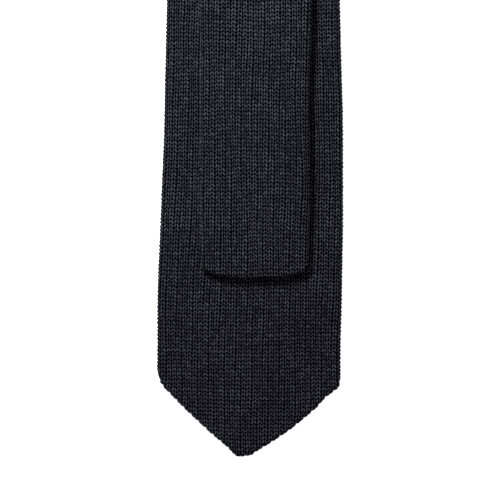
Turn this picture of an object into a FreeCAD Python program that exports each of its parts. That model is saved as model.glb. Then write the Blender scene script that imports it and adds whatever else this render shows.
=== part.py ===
"""A knitted necktie, folded in half at the neck, with its tail threaded through the keeper loop.

The tie is knitted tube pressed flat, and lies flat. The wide blade with its pointed end lies underneath,
with its back upwards. The neckband folds over at the neck and brings the tail with its square end back on
top of the blade. +Y runs from the blade's point to the neck fold, +X to the right seen from above, and +Z
is up. The origin is under the middle of the folded tie. A size whose name ends in _at is a distance from
the blade's point along Y.
"""

import FreeCAD
import Part
import Sketcher
import math
import os

doc = FreeCAD.newDocument("Necktie")

# ---------------------------------------------------------------- driving dimensions, in millimetres
SIZES = [
    # the whole tie
    ("folded_length", 760.0),        # from the blade's point to the outside of the neck fold
    ("edge_round", 1.2),             # how round the pressed edges of the knitted tube are
    ("part_gap", 0.3),               # between two lengths of knit that bend apart, and round what is loose
    ("fit_gap", 0.05),               # round what lies snug inside the knit
    ("seam_length", 0.6),            # how much of the tie's length a joining seam takes
    ("linking", 0.85),               # depth of the linked chain that closes an end of the tube
    # wide blade, from its pointed end up to the neckband
    ("blade_thickness", 3.2),
    ("bend_at", 34.0),               # where the pointed end bends up
    ("bend_left", 34.6),             # the blade's left and right edges at the bend, from the centre line
    ("bend_right", 34.0),
    ("wide_left", 35.0),             # where each edge stands out furthest
    ("wide_left_at", 46.0),
    ("wide_right", 35.0),
    ("wide_right_at", 105.0),
    ("upper_left", 31.9),            # where the blade starts to narrow towards the neck
    ("upper_right", 34.2),
    ("upper_at", 157.0),
    ("taper_left", 27.0),            # half way through the narrowing
    ("taper_right", 30.5),
    ("taper_at", 300.0),
    ("blade_seam_at", 500.0),        # where the blade is sewn to the neckband
    # pointed end
    ("point_left", 5.2),             # the blunt point lies to the left of the centre line
    ("point_right", 2.6),
    ("shoulder_left", 33.9),
    ("shoulder_left_at", 29.5),
    ("shoulder_right", 33.9),
    ("shoulder_right_at", 27.2),
    # neckband
    ("neck_side", 2.2),              # the neckband and the tail lie this far to the right
    ("neck_width", 34.0),
    ("neck_thickness", 2.8),
    ("stay_width", 20.0),            # the woven tape that stops the neckband stretching
    ("stay_thickness", 0.5),
    # tail
    ("layer_gap", 0.9),              # from the blade's back up to the tail, which leaves room for the labels
    ("tail_thickness", 3.0),
    ("tail_width", 41.2),
    ("tail_end_at", 68.4),
    ("tail_end_half_flat", 8.5),     # half of the straight middle of the tail's end edge
    ("tail_corner_left", 2.8),       # how far each corner of the end falls short of the middle
    ("tail_corner_right", 3.2),
    ("tail_corner_in", 1.5),         # how far the rounder right corner is drawn in
    ("tail_bend_at", 150.0),         # where the loose end of the tail bends up
    ("tail_narrows_at", 250.0),
    ("tail_seam_at", 400.0),         # where the tail is sewn to the neckband
    # interlining of both blades
    ("lining_thickness", 0.8),
    ("lining_inset", 3.0),           # from the edges of the tube around it
    ("lining_start", 10.0),          # from the bend
    # keeper loop
    ("keeper_at", 235.0),            # the middle of its band
    ("keeper_width", 12.0),          # the width of its band, along the tie
    ("keeper_thickness", 1.2),
    ("keeper_over", 0.4),            # between the tail and the band over it
    ("keeper_beside", 0.8),          # between the tail's edges and the sides of the loop
    ("keeper_foot", 4.5),            # the end of the band that is sewn down
    ("tack_inset", 1.2),             # from the edges of the piece that is sewn down
    ("tack_width", 0.7),             # a sewn bar of close stitches
    ("tack_height", 0.4),
    # labels
    ("label_at", 262.0),             # the lower edge of the maker's label
    ("label_width", 52.0),
    ("label_depth", 18.0),
    ("label_thickness", 0.35),
    ("label_gap", 3.0),              # between the two labels
    ("care_width", 24.0),
    ("care_depth", 32.0),
    ("care_thickness", 0.25),
    ("stitch_length", 2.4),
    ("stitch_pitch", 3.6),
    ("stitch_thickness", 0.2),
]

sheet = doc.addObject("Spreadsheet::Sheet", "Size")
for row, (alias, millimetres) in enumerate(SIZES, start=1):
    sheet.set(f"A{row}", alias)
    sheet.set(f"B{row}", str(millimetres))
    sheet.setAlias(f"B{row}", alias)
doc.recompute()

# places that follow from the sizes, as expressions
POINT_Y = "-Size.folded_length / 2"
TAIL_LOW = "(Size.blade_thickness + Size.layer_gap)"
BEND_INSIDE = f"(({TAIL_LOW} - Size.neck_thickness - Size.seam_length) / 2)"
BEND_OUTSIDE = f"({BEND_INSIDE} + Size.neck_thickness)"
NECK_LEFT = "(Size.neck_side - Size.neck_width / 2)"
NECK_RIGHT = "(Size.neck_side + Size.neck_width / 2)"
TAIL_LEFT = "(Size.neck_side - Size.tail_width / 2)"
TAIL_RIGHT = "(Size.neck_side + Size.tail_width / 2)"


def size(alias):
    """A driving dimension as a number."""
    return float(sheet.get(alias))


# ---------------------------------------------------------------- how the pieces are made


def new_body(label, x="0", y=POINT_Y, z="0"):
    """An empty body whose placement is tied to the sheet."""
    body = doc.addObject("PartDesign::Body", label)
    body.Label = label
    body.setExpression("Placement.Base.x", x)
    body.setExpression("Placement.Base.y", y)
    body.setExpression("Placement.Base.z", z)
    return body


def new_sketch(body, name, plane, offset="0"):
    """A sketch on one of the body's own origin planes, moved along the plane's normal."""
    sketch = body.newObject("Sketcher::SketchObject", f"{body.Label}_{name}")
    origin_plane = next(f for f in body.Origin.OriginFeatures if f.Role == plane)
    sketch.AttachmentSupport = (origin_plane, [""])
    sketch.MapMode = "FlatFace"
    sketch.setExpression(".AttachmentOffset.Base.z", offset)
    return sketch


def draw_outline(sketch, corners):
    """A closed outline of straight lines, with each corner held by two expressions.

    The lines start as an even polygon, and the constraints move every corner to its place.
    """
    count = len(corners)
    turns = [2 * math.pi * i / count for i in range(count)]
    starts = [FreeCAD.Vector(math.cos(a), math.sin(a), 0) * 50 for a in turns]
    for i, start in enumerate(starts):
        sketch.addGeometry(Part.LineSegment(start, starts[(i + 1) % count]), False)
    for i in range(count):
        sketch.addConstraint(Sketcher.Constraint("Coincident", (i - 1) % count, 2, i, 1))
    for i, (x, y) in enumerate(corners):
        across = sketch.addConstraint(Sketcher.Constraint("DistanceX", -1, 1, i, 1, starts[i].x))
        sketch.setExpression(f"Constraints[{across}]", x)
        up = sketch.addConstraint(Sketcher.Constraint("DistanceY", -1, 1, i, 1, starts[i].y))
        sketch.setExpression(f"Constraints[{up}]", y)


def raise_pad(body, sketch, height, both_ways=False):
    pad = body.newObject("PartDesign::Pad", f"{body.Label}_pad")
    pad.Profile = sketch
    pad.Midplane = both_ways
    pad.setExpression("Length", height)
    doc.recompute()
    return pad


def cut_cavity(body, sketch, height, both_ways=False):
    """A pocket upwards from the sketch, or both ways from it, that has to take material away."""
    before = body.Shape.Volume
    pocket = body.newObject("PartDesign::Pocket", f"{body.Label}_cavity")
    pocket.Profile = sketch
    pocket.Reversed = not both_ways
    pocket.Midplane = both_ways
    pocket.setExpression("Length", height)
    doc.recompute()
    if body.Shape.Volume >= before:
        raise RuntimeError(f"the cavity in {body.Label} cuts nothing")
    return pocket


def round_edges(body, radius, chosen):
    """Fillet the edges of the body for which chosen(list of end points) is true."""
    base = body.Tip
    inverse = body.Placement.inverse()
    names = []
    for number, edge in enumerate(body.Shape.Edges, start=1):
        ends = [inverse.multVec(vertex.Point) for vertex in edge.Vertexes]
        if chosen(ends):
            names.append(f"Edge{number}")
    fillet = body.newObject("PartDesign::Fillet", f"{body.Label}_round")
    fillet.Base = (base, names)
    fillet.setExpression("Radius", radius)
    doc.recompute()
    return fillet


def same(a, b):
    return abs(a - b) < 1e-6


def flat_piece(label, corners, low, height):
    """A flat piece with the given outline, standing on the height low. Its Y is measured from the point."""
    body = new_body(label, z=low)
    sketch = new_sketch(body, "outline", "XY_Plane")
    draw_outline(sketch, corners)
    raise_pad(body, sketch, height)
    return body


def round_sides(body, joint_places):
    """Round the long edges of a flat piece, but not where it meets its neighbours at the given places."""

    def is_side(ends):
        level = same(ends[0].z, ends[1].z)
        at_joint = any(all(same(end.y, place) for end in ends) for place in joint_places)
        return level and not at_joint

    round_edges(body, "Size.edge_round", is_side)


def bend_profile(sketch, length, inside, outside, half):
    """A strip seen from its side: straight, then a quarter turn about the sketch's origin.

    half is -1 for the lower half of the fold and +1 for the upper half. length, inside and outside are
    pairs of an expression and its value.
    """
    run, inner, outer = length[1], inside[1], outside[1]
    points = [(-run, half * outer), (0, half * outer), (outer, 0)]
    points += [(inner, 0), (0, half * inner), (-run, half * inner)]
    vectors = [FreeCAD.Vector(x, y, 0) for x, y in points]
    far_outer, turn_outer, apex_outer, apex_inner, turn_inner, far_inner = vectors
    slant = math.sqrt(0.5)
    outer_middle = FreeCAD.Vector(outer * slant, half * outer * slant, 0)
    inner_middle = FreeCAD.Vector(inner * slant, half * inner * slant, 0)
    sketch.addGeometry(Part.LineSegment(far_outer, turn_outer), False)
    sketch.addGeometry(Part.Arc(turn_outer, outer_middle, apex_outer), False)
    sketch.addGeometry(Part.LineSegment(apex_outer, apex_inner), False)
    sketch.addGeometry(Part.Arc(apex_inner, inner_middle, turn_inner), False)
    sketch.addGeometry(Part.LineSegment(turn_inner, far_inner), False)
    sketch.addGeometry(Part.LineSegment(far_inner, far_outer), False)
    # an arc runs anticlockwise, so its first end is the lower one
    arc_first, arc_last = (1, 2) if half < 0 else (2, 1)
    join = [(0, 2, 1, arc_first), (1, arc_last, 2, 1), (2, 2, 3, arc_last), (3, arc_first, 4, 1)]
    join += [(4, 2, 5, 1), (5, 2, 0, 1), (1, 3, -1, 1), (3, 3, -1, 1)]
    for a, a_end, b, b_end in join:
        sketch.addConstraint(Sketcher.Constraint("Coincident", a, a_end, b, b_end))
    sketch.addConstraint(Sketcher.Constraint("Horizontal", 0))
    sketch.addConstraint(Sketcher.Constraint("Horizontal", 4))
    sketch.addConstraint(Sketcher.Constraint("Vertical", 5))
    sketch.addConstraint(Sketcher.Constraint("PointOnObject", 0, 2, -2))
    sketch.addConstraint(Sketcher.Constraint("PointOnObject", 4, 1, -2))
    sketch.addConstraint(Sketcher.Constraint("PointOnObject", 2, 1, -1))
    sketch.addConstraint(Sketcher.Constraint("PointOnObject", 2, 2, -1))
    for geometry, (expression, number) in ((1, outside), (3, inside)):
        radius = sketch.addConstraint(Sketcher.Constraint("Radius", geometry, number))
        sketch.setExpression(f"Constraints[{radius}]", expression)
    back = sketch.addConstraint(Sketcher.Constraint("DistanceX", 0, 1, -1, 1, run))
    sketch.setExpression(f"Constraints[{back}]", length[0])


def small_box(name, x, y, z, along_x, along_y, along_z):
    """A box from its lowest corner and its three sides. Its Y is measured from the point."""
    box = doc.addObject("Part::Box", name)
    box.setExpression("Placement.Base.x", x)
    box.setExpression("Placement.Base.y", f"{y} + {POINT_Y}")
    box.setExpression("Placement.Base.z", z)
    box.setExpression("Length", along_x)
    box.setExpression("Width", along_y)
    box.setExpression("Height", along_z)
    return box


def group_of(label, pieces):
    """Like pieces that share one node."""
    group = doc.addObject("Part::Compound", label)
    group.Label = label
    group.Links = pieces
    return group


nodes = []

# ---------------------------------------------------------------- wide blade
# The knitted tube of the blade from the bend above its point up to the neckband.


def blade_outline(inset="0", start="Size.bend_at + Size.part_gap / 2"):
    """The blade's outline, drawn in from its sides by inset."""
    end = "Size.blade_seam_at - Size.seam_length / 2"
    return [
        (f"-Size.bend_left + {inset}", start),
        (f"Size.bend_right - {inset}", start),
        (f"Size.wide_right - {inset}", "Size.wide_right_at"),
        (f"Size.upper_right - {inset}", "Size.upper_at"),
        (f"Size.taper_right - {inset}", "Size.taper_at"),
        (f"{NECK_RIGHT} - {inset}", end),
        (f"{NECK_LEFT} + {inset}", end),
        (f"-Size.taper_left + {inset}", "Size.taper_at"),
        (f"-Size.upper_left + {inset}", "Size.upper_at"),
        (f"-Size.wide_left + {inset}", "Size.wide_left_at"),
    ]


blade_start = size("bend_at") + size("part_gap") / 2
blade_end = size("blade_seam_at") - size("seam_length") / 2
LINING_LOW = "(Size.blade_thickness - Size.lining_thickness) / 2"
LINING_START = "Size.bend_at + Size.lining_start"

wide_blade = flat_piece("wide_blade", blade_outline(), "0", "Size.blade_thickness")
round_sides(wide_blade, [blade_start, blade_end])
cavity = new_sketch(wide_blade, "cavity", "XY_Plane", LINING_LOW)
draw_outline(cavity, blade_outline("Size.lining_inset", LINING_START))
cut_cavity(wide_blade, cavity, "Size.lining_thickness")
nodes.append(wide_blade)

# ---------------------------------------------------------------- interlining of the blade
# A light strip of brushed cloth inside the tube, caught in the seam at the neckband.

in_the_cavity = blade_outline("(Size.lining_inset + Size.part_gap)", f"{LINING_START} + Size.part_gap")
nodes.append(flat_piece("blade_interlining", in_the_cavity, LINING_LOW, "Size.lining_thickness"))

# ---------------------------------------------------------------- pointed end
# The end of the blade's tube, closed along the two sides of the point by a linked chain of loops.

POINT_CORNERS = [
    ("-Size.shoulder_left", "Size.shoulder_left_at"),
    ("-Size.point_left", "0"),
    ("-Size.point_right", "0"),
    ("Size.shoulder_right", "Size.shoulder_right_at"),
]


def moved_up(corners, distance):
    return [(x, f"{y} + {distance}") for x, y in corners]


TIP_TOP = "Size.bend_at - Size.part_gap / 2"
tip_outline = moved_up(POINT_CORNERS, "Size.linking")
tip_outline += [("Size.bend_right", TIP_TOP), ("-Size.bend_left", TIP_TOP)]
blade_tip = flat_piece("blade_tip", tip_outline, "0", "Size.blade_thickness")
round_sides(blade_tip, [size("bend_at") - size("part_gap") / 2])
nodes.append(blade_tip)

SEAM_LOW = "Size.edge_round"
SEAM_HEIGHT = "Size.blade_thickness - 2 * Size.edge_round"
tip_seam_outline = POINT_CORNERS + moved_up(POINT_CORNERS, "Size.linking")[::-1]
nodes.append(flat_piece("blade_tip_seam", tip_seam_outline, SEAM_LOW, SEAM_HEIGHT))


# ---------------------------------------------------------------- joining seams across the tie
# Each is a narrow linked seam, as wide and as thick as the neckband.


def cross_seam(label, middle, low):
    near = f"{middle} - Size.seam_length / 2"
    far = f"{middle} + Size.seam_length / 2"
    corners = [(NECK_LEFT, near), (NECK_RIGHT, near), (NECK_RIGHT, far), (NECK_LEFT, far)]
    return flat_piece(label, corners, low, "Size.neck_thickness")


for label, alias, low in (("blade_neck_seam", "blade_seam_at", "0"),
                          ("neck_tail_seam", "tail_seam_at", TAIL_LOW)):
    seam = cross_seam(label, f"Size.{alias}", low)
    half_seam = size("seam_length") / 2
    round_sides(seam, [size(alias) - half_seam, size(alias) + half_seam])
    nodes.append(seam)

# ---------------------------------------------------------------- neckband, stay tape, centre back seam
# Two halves of a narrow tube, sewn together at the fold. A woven tape in each keeps it from stretching.

tail_low = size("blade_thickness") + size("layer_gap")
bend_inside = (tail_low - size("neck_thickness") - size("seam_length")) / 2
STAY_SPACE = "(Size.stay_thickness + 2 * Size.fit_gap)"
stay_space = size("stay_thickness") + 2 * size("fit_gap")
LOWER_BEND_Z = BEND_OUTSIDE
UPPER_BEND_Z = f"{BEND_OUTSIDE} + Size.seam_length"
BEND_Y = f"Size.folded_length / 2 - {BEND_OUTSIDE}"


def strip_radii(margin, margin_value):
    """Inside and outside radius of a strip that lies in the neckband with that margin on each side."""
    inside = (f"{BEND_INSIDE} + {margin}", bend_inside + margin_value)
    outside = (f"{BEND_OUTSIDE} - {margin}", bend_inside + size("neck_thickness") - margin_value)
    return inside, outside


def neckband_half(side, seam_alias, bend_z, half):
    """One half of the neckband with the tape inside it."""
    run = f"Size.folded_length - {BEND_OUTSIDE} - Size.{seam_alias} - Size.seam_length / 2"
    bend_outside = bend_inside + size("neck_thickness")
    run_value = size("folded_length") - bend_outside - size(seam_alias) - size("seam_length") / 2
    length = (run, run_value)

    band = new_body(f"neckband_{side}_side", x="Size.neck_side", y=BEND_Y, z=bend_z)
    outline = new_sketch(band, "outline", "YZ_Plane")
    bend_profile(outline, length, *strip_radii("0", 0), half)
    raise_pad(band, outline, "Size.neck_width", both_ways=True)
    half_width = size("neck_width") / 2

    def is_side(ends):
        on_side = all(same(abs(end.x), half_width) for end in ends)
        at_seam = all(same(end.y, -run_value) for end in ends)
        at_apex = all(same(end.z, 0) for end in ends)
        return on_side and not at_seam and not at_apex

    round_edges(band, "Size.edge_round", is_side)
    cavity = new_sketch(band, "cavity", "YZ_Plane")
    wall = f"(Size.neck_thickness - {STAY_SPACE}) / 2"
    bend_profile(cavity, length, *strip_radii(wall, (size("neck_thickness") - stay_space) / 2), half)
    cut_cavity(band, cavity, "Size.stay_width + 2 * Size.part_gap", both_ways=True)

    tape = new_body(f"stay_tape_{side}_side", x="Size.neck_side", y=BEND_Y, z=bend_z)
    outline = new_sketch(tape, "outline", "YZ_Plane")
    cover = "(Size.neck_thickness - Size.stay_thickness) / 2"
    cover_value = (size("neck_thickness") - size("stay_thickness")) / 2
    bend_profile(outline, length, *strip_radii(cover, cover_value), half)
    raise_pad(tape, outline, "Size.stay_width", both_ways=True)
    nodes.extend([band, tape])


neckband_half("blade", "blade_seam_at", LOWER_BEND_Z, -1)
neckband_half("tail", "tail_seam_at", UPPER_BEND_Z, 1)

centre_back = new_body("centre_back_seam", x=NECK_LEFT, y=f"{BEND_Y} + {BEND_INSIDE}", z=LOWER_BEND_Z)
outline = new_sketch(centre_back, "outline", "XY_Plane")
draw_outline(outline, [
    ("0", "0"),
    ("Size.neck_width", "0"),
    ("Size.neck_width", "Size.neck_thickness"),
    ("0", "Size.neck_thickness"),
])
raise_pad(centre_back, outline, "Size.seam_length")
round_edges(
    centre_back,
    "Size.edge_round",
    lambda ends: same(ends[0].x, ends[1].x) and same(ends[0].y, ends[1].y),
)
nodes.append(centre_back)

# ---------------------------------------------------------------- tail
# The narrower tube that comes back over the blade, through the keeper loop, and its interlining.


def tail_outline(inset="0", start="Size.tail_bend_at + Size.part_gap / 2"):
    end = "Size.tail_seam_at - Size.seam_length / 2"
    return [
        (f"{TAIL_LEFT} + {inset}", start),
        (f"{TAIL_RIGHT} - {inset}", start),
        (f"{TAIL_RIGHT} - {inset}", "Size.tail_narrows_at"),
        (f"{NECK_RIGHT} - {inset}", end),
        (f"{NECK_LEFT} + {inset}", end),
        (f"{TAIL_LEFT} + {inset}", "Size.tail_narrows_at"),
    ]


TAIL_LINING_LOW = f"{TAIL_LOW} + (Size.tail_thickness - Size.lining_thickness) / 2"
TAIL_LINING_START = "Size.tail_bend_at + Size.lining_start"

tail = flat_piece("tail", tail_outline(), TAIL_LOW, "Size.tail_thickness")
tail_start = size("tail_bend_at") + size("part_gap") / 2
tail_finish = size("tail_seam_at") - size("seam_length") / 2
round_sides(tail, [tail_start, tail_finish])
cavity = new_sketch(tail, "cavity", "XY_Plane", "(Size.tail_thickness - Size.lining_thickness) / 2")
draw_outline(cavity, tail_outline("Size.lining_inset", TAIL_LINING_START))
cut_cavity(tail, cavity, "Size.lining_thickness")
nodes.append(tail)

in_the_cavity = tail_outline("(Size.lining_inset + Size.part_gap)", f"{TAIL_LINING_START} + Size.part_gap")
nodes.append(flat_piece("tail_interlining", in_the_cavity, TAIL_LINING_LOW, "Size.lining_thickness"))

# ---------------------------------------------------------------- square end of the tail
# The loose end of the tail, closed by a linked chain along its nearly straight edge.

TAIL_END_CORNERS = [
    (TAIL_LEFT, "Size.tail_end_at + Size.tail_corner_left"),
    ("Size.neck_side - Size.tail_end_half_flat", "Size.tail_end_at"),
    ("Size.neck_side + Size.tail_end_half_flat", "Size.tail_end_at"),
    (f"{TAIL_RIGHT} - Size.tail_corner_in", "Size.tail_end_at + Size.tail_corner_right"),
]
TAIL_END_TOP = "Size.tail_bend_at - Size.part_gap / 2"
corner_level = "Size.tail_end_at + Size.tail_corner_right + 2 * Size.tail_corner_in + Size.linking"
end_outline = moved_up(TAIL_END_CORNERS, "Size.linking")
end_outline += [(TAIL_RIGHT, corner_level), (TAIL_RIGHT, TAIL_END_TOP), (TAIL_LEFT, TAIL_END_TOP)]
tail_end = flat_piece("tail_end", end_outline, TAIL_LOW, "Size.tail_thickness")
round_sides(tail_end, [size("tail_bend_at") - size("part_gap") / 2])
nodes.append(tail_end)

end_seam_outline = TAIL_END_CORNERS + moved_up(TAIL_END_CORNERS, "Size.linking")[::-1]
end_seam_low = f"{TAIL_LOW} + Size.edge_round"
end_seam_height = "Size.tail_thickness - 2 * Size.edge_round"
nodes.append(flat_piece("tail_end_seam", end_seam_outline, end_seam_low, end_seam_height))

# ---------------------------------------------------------------- keeper loop
# A band of the same knit across the back of the blade, sewn down at both ends, that the tail slides through.

ARCH = "(Size.layer_gap + Size.tail_thickness + Size.keeper_over)"
LOOP_LEFT = f"({TAIL_LEFT} - Size.keeper_beside)"
LOOP_RIGHT = f"({TAIL_RIGHT} + Size.keeper_beside)"
FOOT_LEFT = f"({LOOP_LEFT} - Size.keeper_thickness - Size.keeper_foot)"
FOOT_RIGHT = f"({LOOP_RIGHT} + Size.keeper_thickness + Size.keeper_foot)"

keeper = new_body("keeper_loop", y=f"Size.keeper_at + {POINT_Y}", z="Size.blade_thickness")
outline = new_sketch(keeper, "outline", "XZ_Plane")
draw_outline(outline, [
    (FOOT_LEFT, "0"),
    (LOOP_LEFT, "0"),
    (LOOP_LEFT, ARCH),
    (LOOP_RIGHT, ARCH),
    (LOOP_RIGHT, "0"),
    (FOOT_RIGHT, "0"),
    (FOOT_RIGHT, "Size.keeper_thickness"),
    (f"{LOOP_RIGHT} + Size.keeper_thickness", "Size.keeper_thickness"),
    (f"{LOOP_RIGHT} + Size.keeper_thickness", f"{ARCH} + Size.keeper_thickness"),
    (f"{LOOP_LEFT} - Size.keeper_thickness", f"{ARCH} + Size.keeper_thickness"),
    (f"{LOOP_LEFT} - Size.keeper_thickness", "Size.keeper_thickness"),
    (FOOT_LEFT, "Size.keeper_thickness"),
])
raise_pad(keeper, outline, "Size.keeper_width", both_ways=True)
arch_top = size("layer_gap") + size("tail_thickness") + size("keeper_over") + size("keeper_thickness")
round_edges(
    keeper,
    "Size.keeper_thickness * 0.9",
    lambda ends: all(same(end.z, arch_top) for end in ends) and same(ends[0].x, ends[1].x),
)
nodes.append(keeper)

# ---------------------------------------------------------------- bar tacks of the keeper
# A sewn bar along the outer edge of each foot, and one close to the loop.

TACK_Y = "Size.keeper_at - Size.keeper_width / 2 + Size.tack_inset"
TACK_Z = "Size.blade_thickness + Size.keeper_thickness"
TACK_LENGTH = "Size.keeper_width - 2 * Size.tack_inset"
tack_places = [
    f"{FOOT_LEFT} + Size.tack_inset",
    f"{FOOT_LEFT} + Size.keeper_foot - Size.tack_inset",
    f"{FOOT_RIGHT} - Size.tack_inset - Size.tack_width",
    f"{FOOT_RIGHT} - Size.keeper_foot + Size.tack_inset - Size.tack_width",
]
tacks = [
    small_box(f"bar_tack_{i}", x, TACK_Y, TACK_Z, "Size.tack_width", TACK_LENGTH, "Size.tack_height")
    for i, x in enumerate(tack_places, start=1)
]
nodes.append(group_of("keeper_bar_tacks", tacks))

# ---------------------------------------------------------------- labels
# Two woven labels without lettering, sewn to the back of the blade under the tail.


def woven_label(label, middle, low_edge, width, depth, thickness):
    left = f"{middle} - {width} / 2"
    right = f"{middle} + {width} / 2"
    top_edge = f"{low_edge} + {depth}"
    corners = [(left, low_edge), (right, low_edge), (right, top_edge), (left, top_edge)]
    return flat_piece(label, corners, "Size.blade_thickness", thickness)


LABEL_MIDDLE = "Size.neck_side"
maker_label = woven_label(
    "maker_label",
    LABEL_MIDDLE,
    "Size.label_at",
    "Size.label_width",
    "Size.label_depth",
    "Size.label_thickness",
)
CARE_AT = "(Size.label_at + Size.label_depth + Size.label_gap)"
care_label = woven_label(
    "care_label",
    LABEL_MIDDLE,
    CARE_AT,
    "Size.care_width",
    "Size.care_depth",
    "Size.care_thickness",
)
nodes.extend([maker_label, care_label])

# ---------------------------------------------------------------- stitches of the labels
# The maker's label is sewn along its two short ends, and the care label along its upper edge.

label_stitches = []
stitches_up = int((size("label_depth") - 2 * size("tack_inset")) // size("stitch_pitch"))
for side, edge in (("left", "- Size.label_width / 2 + Size.tack_inset"),
                   ("right", "+ Size.label_width / 2 - Size.tack_inset - Size.tack_width")):
    for i in range(stitches_up):
        x = f"{LABEL_MIDDLE} {edge}"
        y = f"Size.label_at + Size.tack_inset + {i} * Size.stitch_pitch"
        z = "Size.blade_thickness + Size.label_thickness"
        name = f"label_stitch_{side}_{i}"
        upright = ("Size.tack_width", "Size.stitch_length", "Size.stitch_thickness")
        label_stitches.append(small_box(name, x, y, z, *upright))
nodes.append(group_of("maker_label_stitches", label_stitches))

care_stitches = []
stitches_across = int((size("care_width") - 2 * size("tack_inset")) // size("stitch_pitch"))
for i in range(stitches_across):
    x = f"{LABEL_MIDDLE} - Size.care_width / 2 + Size.tack_inset + {i} * Size.stitch_pitch"
    y = f"{CARE_AT} + Size.care_depth - Size.tack_inset - Size.tack_width"
    z = "Size.blade_thickness + Size.care_thickness"
    level = ("Size.stitch_length", "Size.tack_width", "Size.stitch_thickness")
    care_stitches.append(small_box(f"care_stitch_{i}", x, y, z, *level))
nodes.append(group_of("care_label_stitches", care_stitches))

# ---------------------------------------------------------------- check and write
doc.recompute()
for item in doc.Objects:
    if "Invalid" in item.State or "Error" in item.State:
        raise RuntimeError(f"{item.Label} failed: {item.State}")
for node in nodes:
    if node.Shape.isNull() or not node.Shape.isValid():
        raise RuntimeError(f"{node.Label} has no valid shape")

os.makedirs("parts", exist_ok=True)
for node in nodes:
    node.Shape.exportStep(f"parts/{node.Label}.step")
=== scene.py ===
import bpy
import bmesh
import math
import numpy as np
from mathutils import Matrix, Vector


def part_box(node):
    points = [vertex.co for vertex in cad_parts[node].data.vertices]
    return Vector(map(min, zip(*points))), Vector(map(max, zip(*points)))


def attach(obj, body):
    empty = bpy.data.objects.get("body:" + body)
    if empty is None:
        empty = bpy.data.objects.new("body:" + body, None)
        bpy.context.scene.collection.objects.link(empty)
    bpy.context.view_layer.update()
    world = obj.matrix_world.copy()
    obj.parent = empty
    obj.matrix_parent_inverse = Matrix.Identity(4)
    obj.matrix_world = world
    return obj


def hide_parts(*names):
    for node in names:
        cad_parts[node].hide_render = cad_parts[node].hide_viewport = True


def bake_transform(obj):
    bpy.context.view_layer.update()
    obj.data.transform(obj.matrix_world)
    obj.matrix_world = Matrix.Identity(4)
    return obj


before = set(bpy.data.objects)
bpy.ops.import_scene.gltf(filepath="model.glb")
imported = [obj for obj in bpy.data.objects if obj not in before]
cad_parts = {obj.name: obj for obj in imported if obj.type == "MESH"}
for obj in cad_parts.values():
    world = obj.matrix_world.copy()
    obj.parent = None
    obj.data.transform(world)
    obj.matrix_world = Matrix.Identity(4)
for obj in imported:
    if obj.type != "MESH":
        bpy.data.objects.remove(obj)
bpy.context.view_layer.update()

MM = 0.001

# ---------------------------------------------------------------- camera, light and floor
# The tie lies on a white acrylic table, seen from straight above. A lamp up and to the left of it throws
# short shadows to the lower right, a pale sky fills them, and a light under the table clears them off it.
POINT_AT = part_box("blade_tip_seam")[0].y / MM


def from_point(distance):
    """The Y in metres of a place, from its distance from the blade's point in millimetres."""
    return (POINT_AT + distance) * MM


# the middle of the view on the blade's upper face, and how much of the tie it takes in, in millimetres
VIEW_SIDE, VIEW_FROM_POINT = 0.2, 78.1
VIEW_WIDTH = 189.2
view_middle = Vector((VIEW_SIDE * MM, from_point(VIEW_FROM_POINT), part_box("wide_blade")[1].z))
camera_data = bpy.data.cameras.new("camera")
camera_data.lens = 85
camera_data.sensor_width = 36
camera = bpy.data.objects.new("camera", camera_data)
camera_distance = VIEW_WIDTH * MM * camera_data.lens / camera_data.sensor_width
camera.location = view_middle + Vector((0, 0, camera_distance))
bpy.context.scene.collection.objects.link(camera)
bpy.context.scene.camera = camera
bpy.context.scene.view_settings.view_transform = "Standard"


def soft_lamp(name, place, width, watts):
    """A round lamp aimed at the middle of the view. Its place from there and its width are in metres."""
    data = bpy.data.lights.new(name, "AREA")
    data.shape = "DISK"
    data.size = width
    data.energy = watts
    lamp = bpy.data.objects.new(name, data)
    lamp.location = view_middle + Vector(place)
    lamp.rotation_euler = (-Vector(place)).to_track_quat("-Z", "Y").to_euler()
    bpy.context.scene.collection.objects.link(lamp)


soft_lamp("key_lamp", place=(-0.19, 0.29, 0.265), width=0.087, watts=2.35)
soft_lamp("fill_lamp", place=(0.9, 0.3, 1.5), width=1.2, watts=2)


def linear(hex_colour):
    """An sRGB hex colour as linear red, green, blue and alpha."""
    parts = [int(hex_colour[i:i + 2], 16) / 255 for i in (1, 3, 5)]
    return tuple(c / 12.92 if c <= 0.04045 else ((c + 0.055) / 1.055) ** 2.4 for c in parts) + (1.0,)


def add_node(tree, kind, links=(), **settings):
    """Adds a node, sets its properties, and sets or links its inputs from pairs of socket and value."""
    node = tree.nodes.new(kind)
    for name, value in settings.items():
        setattr(node, name, value)
    for socket, value in links:
        if isinstance(value, bpy.types.NodeSocket):
            tree.links.new(value, node.inputs[socket])
        else:
            node.inputs[socket].default_value = value
    return node


# the sky lights the tie weakly, and looks pale itself
SKY_LIGHT, SKY_SEEN = 0.24, 0.92
sky = bpy.data.worlds.new("pale_sky")
sky.use_nodes = True
seen = add_node(sky.node_tree, "ShaderNodeLightPath").outputs["Is Camera Ray"]
strength = add_node(sky.node_tree, "ShaderNodeMapRange",
                    [("Value", seen), ("To Min", SKY_LIGHT), ("To Max", SKY_SEEN)])
sky.node_tree.nodes["Background"].inputs["Color"].default_value = linear("#f9fbff")
sky.node_tree.links.new(strength.outputs["Result"], sky.node_tree.nodes["Background"].inputs["Strength"])
bpy.context.scene.world = sky


def new_material(name, roughness, specular=0.5, sheen=0.0):
    """A material and its tree and shader, with the finish that is the same all over."""
    material = bpy.data.materials.new(name)
    material.use_nodes = True
    shader = material.node_tree.nodes["Principled BSDF"]
    shader.inputs["Roughness"].default_value = roughness
    shader.inputs["Specular IOR Level"].default_value = specular
    shader.inputs["Sheen Weight"].default_value = sheen
    return material, material.node_tree, shader


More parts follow.
